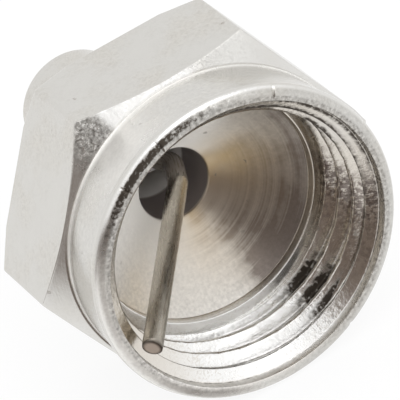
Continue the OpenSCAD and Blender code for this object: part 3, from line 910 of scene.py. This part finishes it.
def softSolder():
    # bright tin, frosted grey in cloudy patches and specks
    look = solderLook
    material, tree, shader = newMaterial("softSolder")
    wear = useGroup(tree, wearGroup, Speck_size=look["speckSize"], Speck_share=look["speckShare"])
    frostAndLight = remap(tree, wear["Clouds"], 0.35, 0.65)
    colour = mixColour(tree, frostAndLight, look["tin"], look["grey"])
    colour = mixColour(tree, times(tree, wear["Specks"], look["speckStain"]), colour, look["grey"])
    feed(tree, shader, "Base Color", colour)
    shader.inputs["Metallic"].default_value = 1.0
    feed(tree, shader, "Roughness", remap(tree, frostAndLight, 0.0, 1.0, *look["roughness"]))
    addBump(tree, shader, wear["Clouds"], 0.4, 0.02)
    return material


def buildSolder():
    # outer face: a dome 1 - share^2 from the lead to the wall, a bell curve up the lead, and a ripple
    size = solderSizes
    holeR = bodySizes["hole"] / 2 - size["wallGap"]
    leadR = wireSizes["diameter"] / 2 - size["leadOverlap"]
    around = np.linspace(0, tau, size["around"], endpoint=False)
    share = np.linspace(0, 1, size["rows"])[:, None]  # 0 at the lead, 1 at the wall of the hole
    r = leadR + (holeR - leadR) * share
    across, side = -wireSizes["shift"] * (1 - share) + r * np.cos(around), r * np.sin(around)
    bulge = size["rise"] * (1 - share ** 2) + size["climb"] * bell(share, 0, size["climbSpread"])
    bulge = bulge + size["ripple"] * smoothNoise(around, 9, 4) * np.sin(math.pi * share)
    inner = np.full((1, size["around"]), size["inner"])
    across, side = (np.concatenate([v, v[-1:], v[:1]]) for v in (across, side))
    along = np.concatenate([size["outer"] - bulge, inner, inner])
    points = toPart(across, side, along, wireSizes["heading"])
    return makePiece("solderJoint", points, gridFaces(len(along), size["around"], True, True),
                     material=softSolder(), node="solder_joint")


buildSolder()
print("object done")

# floor, light and camera
stageLook = {
    "floorHeight": -5.55, "floorSpan": 400.0, "floorGrey": 0.88, "floorRoughness": 0.9, "floorGlow": 0.86,
    "skyLevel": 1.0,
    "lamps": (((0.10, -0.36, 0.93), 0.9, 8.0, 38.0),
              ((0.124, -0.882, 0.454), 0.85, 6.0, 27.0)),  # way, gain, inner and outer edge in degrees
    "fillWay": (0.30, -0.94, 0.15), "fillLevel": 1.3, "fillSpread": 90.0,
}


def buildFloor():
    # a pale square that shows its own even glow to the camera and the metal, and keeps part of the shadow
    look = stageLook
    mesh = bpy.data.meshes.new("floor")
    corner = np.array([[-1, -1], [1, -1], [1, 1], [-1, 1]]) * look["floorSpan"]
    mesh.from_pydata([(x * mm, y * mm, look["floorHeight"] * mm) for x, y in corner], [], [(0, 1, 2, 3)])
    floor = linkObject("floor", mesh)
    material, tree, shader = newMaterial("paleFloor")
    shader.inputs["Base Color"].default_value = (look["floorGrey"],) * 3 + (1,)
    shader.inputs["Roughness"].default_value = look["floorRoughness"]
    path = addNode(tree, "ShaderNodeLightPath")
    seen = maths(tree, "MAXIMUM", path.outputs["Is Camera Ray"], path.outputs["Is Glossy Ray"])
    seen = maths(tree, "MAXIMUM", seen, path.outputs["Is Transmission Ray"])
    glow = addNode(tree, "ShaderNodeEmission", Color=(1, 1, 1, 1), Strength=1.0)
    blend = addNode(tree, "ShaderNodeMixShader", in0=times(tree, seen, look["floorGlow"]),
                    in1=shader.outputs[0], in2=glow.outputs[0])
    feed(tree, tree.nodes["Material Output"], "Surface", blend.outputs[0])
    mesh.materials.append(material)


# the dark card: directions in degrees from straight ahead of the mouth, distances in mm
cardLook = {
    "colour": (0.17, 0.135, 0.115), "distance": 70.0, "apex": (-1.0, 2.0), "lift": 0.02,
    "turn": (-130, 20, 76), "nearRows": (1.0, 12.0, 12), "farFrom": 15.0, "farRows": 12, "climb": (2, 70, 28),
    "lyingLeft": (-66, -46), "lyingRight": (-18, 2), "lyingNear": (1.5, 4.0), "lyingFar": (40, 68),
    "standingLeft": (-122, -72), "standingRight": (-15, -8),
    "top": 34.0, "topFade": 30.0, "lowerOver": (26, 44), "lowerBy": 16.0,
}


def buildCard():
    # a card that only the metal mirrors, glowing white where it isn't dark: lying in front of the mouth its
    # dark part paints the shade on the floor there, and further out it stands up for dark surroundings, with
    # soft edges and a top that comes down towards the left
    look = cardLook
    far = look["distance"]
    turn = np.radians(np.linspace(*look["turn"]))
    reach = np.concatenate([np.linspace(*look["nearRows"]),
                            np.linspace(look["farFrom"], far, look["farRows"])])
    climb = np.radians(np.linspace(*look["climb"]))
    out = np.concatenate([reach, np.full(len(climb), far)])[:, None]
    up = np.concatenate([np.zeros(len(reach)), far * np.tan(climb)])[:, None]
    x, y = look["apex"][0] + out * np.sin(turn), look["apex"][1] - out * np.cos(turn)
    points = np.stack([x, y, stageLook["floorHeight"] + look["lift"] + up + 0 * turn], -1)
    azimuth, height = np.degrees(turn), np.degrees(np.arctan2(up, out))
    # the lying part: painted shade on the floor in front of the mouth, seen only in the metal
    lying = band(azimuth, look["lyingLeft"], look["lyingRight"]) * step(out, *look["lyingNear"])
    lower = look["lowerBy"] * step(-azimuth, *look["lowerOver"])
    top = step((height - look["top"] + lower) / (look["topFade"] - lower), 0, 1)
    standing = band(azimuth, look["standingLeft"], look["standingRight"]) * (1 - top)
    farther = step(out, *look["lyingFar"])
    shade = np.where(up > 0, standing, lying * (1 - farther) + standing * farther)
    mesh = bpy.data.meshes.new("darkCard")
    faces = gridFaces(len(out), len(turn), False, False)
    mesh.from_pydata((points.reshape(-1, 3) * mm).tolist(), [], faces.tolist())
    layer = mesh.attributes.new("shade", "FLOAT", "POINT")
    layer.data.foreach_set("value", shade.astype(np.float32).ravel())
    card = linkObject("darkCard", mesh)
    material, tree = newMaterial("darkCard")[:2]
    colour = mixColour(tree, attributeValue(tree, "shade"), (1, 1, 1), look["colour"])
    glow = addNode(tree, "ShaderNodeEmission", Color=colour, Strength=1.0)
    feed(tree, tree.nodes["Material Output"], "Surface", glow.outputs[0])
    mesh.materials.append(material)
    card.visible_camera = card.visible_diffuse = card.visible_shadow = card.visible_transmission = False


def buildWorld():
    # an even white sky with two soft lamps, and a wide fill light that the metal doesn't mirror
    look = stageLook
    world = bpy.data.worlds.new("studio")
    bpy.context.scene.world = world
    world.use_nodes = True
    tree = world.node_tree
    back = tree.nodes["Background"]
    way = addNode(tree, "ShaderNodeTexCoord").outputs["Generated"]
    seen = addNode(tree, "ShaderNodeLightPath").outputs["Is Camera Ray"]
    level = look["skyLevel"]
    for toLamp, gain, *edges in look["lamps"]:
        inner, outer = (math.cos(math.radians(edge)) for edge in edges)
        near = addNode(tree, "ShaderNodeVectorMath", {"operation": "DOT_PRODUCT"},
                       in0=way, in1=Vector(toLamp).normalized())
        lamp = remap(tree, near.outputs["Value"], outer, inner, 0, 1, True)
        lamp = times(tree, lamp, maths(tree, "SUBTRACT", 1.0, seen))
        level = maths(tree, "MULTIPLY_ADD", lamp, gain, level)
    feed(tree, back, "Strength", level)
    back.inputs["Color"].default_value = (1, 1, 1, 1)
    fill = linkObject("fill", bpy.data.lights.new("fill", "SUN"))
    fill.data.energy, fill.data.angle = look["fillLevel"], math.radians(look["fillSpread"])
    fill.rotation_euler = Vector(look["fillWay"]).to_track_quat("Z", "Y").to_euler()
    fill.visible_glossy = False


cameraView = {"distance": 150.0, "pixelsPerMm": 30.85, "mouthPixel": (249.6, 245.9), "imageSize": 400,
              "right": (0.8372, -0.4677, -0.2836), "up": (0.4808, 0.3821, 0.7892),
              "sensor": 36.0, "clipStart": 5.0}


def buildCamera():
    # looks along the photo's line of sight, with the mouth's centre on its pixel
    view = cameraView
    right = Vector(view["right"]).normalized()
    up = Vector(view["up"])
    up = (up - right * up.dot(right)).normalized()
    back = right.cross(up)
    x, y = ((p - view["imageSize"] / 2) / view["pixelsPerMm"] for p in view["mouthPixel"])
    place = (-x * right + y * up + view["distance"] * back) * mm
    camera = linkObject("camera", bpy.data.cameras.new("camera"))
    camera.data.sensor_width = view["sensor"]
    camera.data.lens = view["pixelsPerMm"] * view["distance"] / view["imageSize"] * view["sensor"]
    camera.data.clip_start = view["clipStart"] * mm
    camera.matrix_world = Matrix.Translation(place) @ Matrix((right, up, back)).transposed().to_4x4()
    bpy.context.scene.camera = camera


buildFloor()
buildCard()
buildWorld()
buildCamera()
bpy.context.scene.view_settings.view_transform = "Standard"
print("stage done")
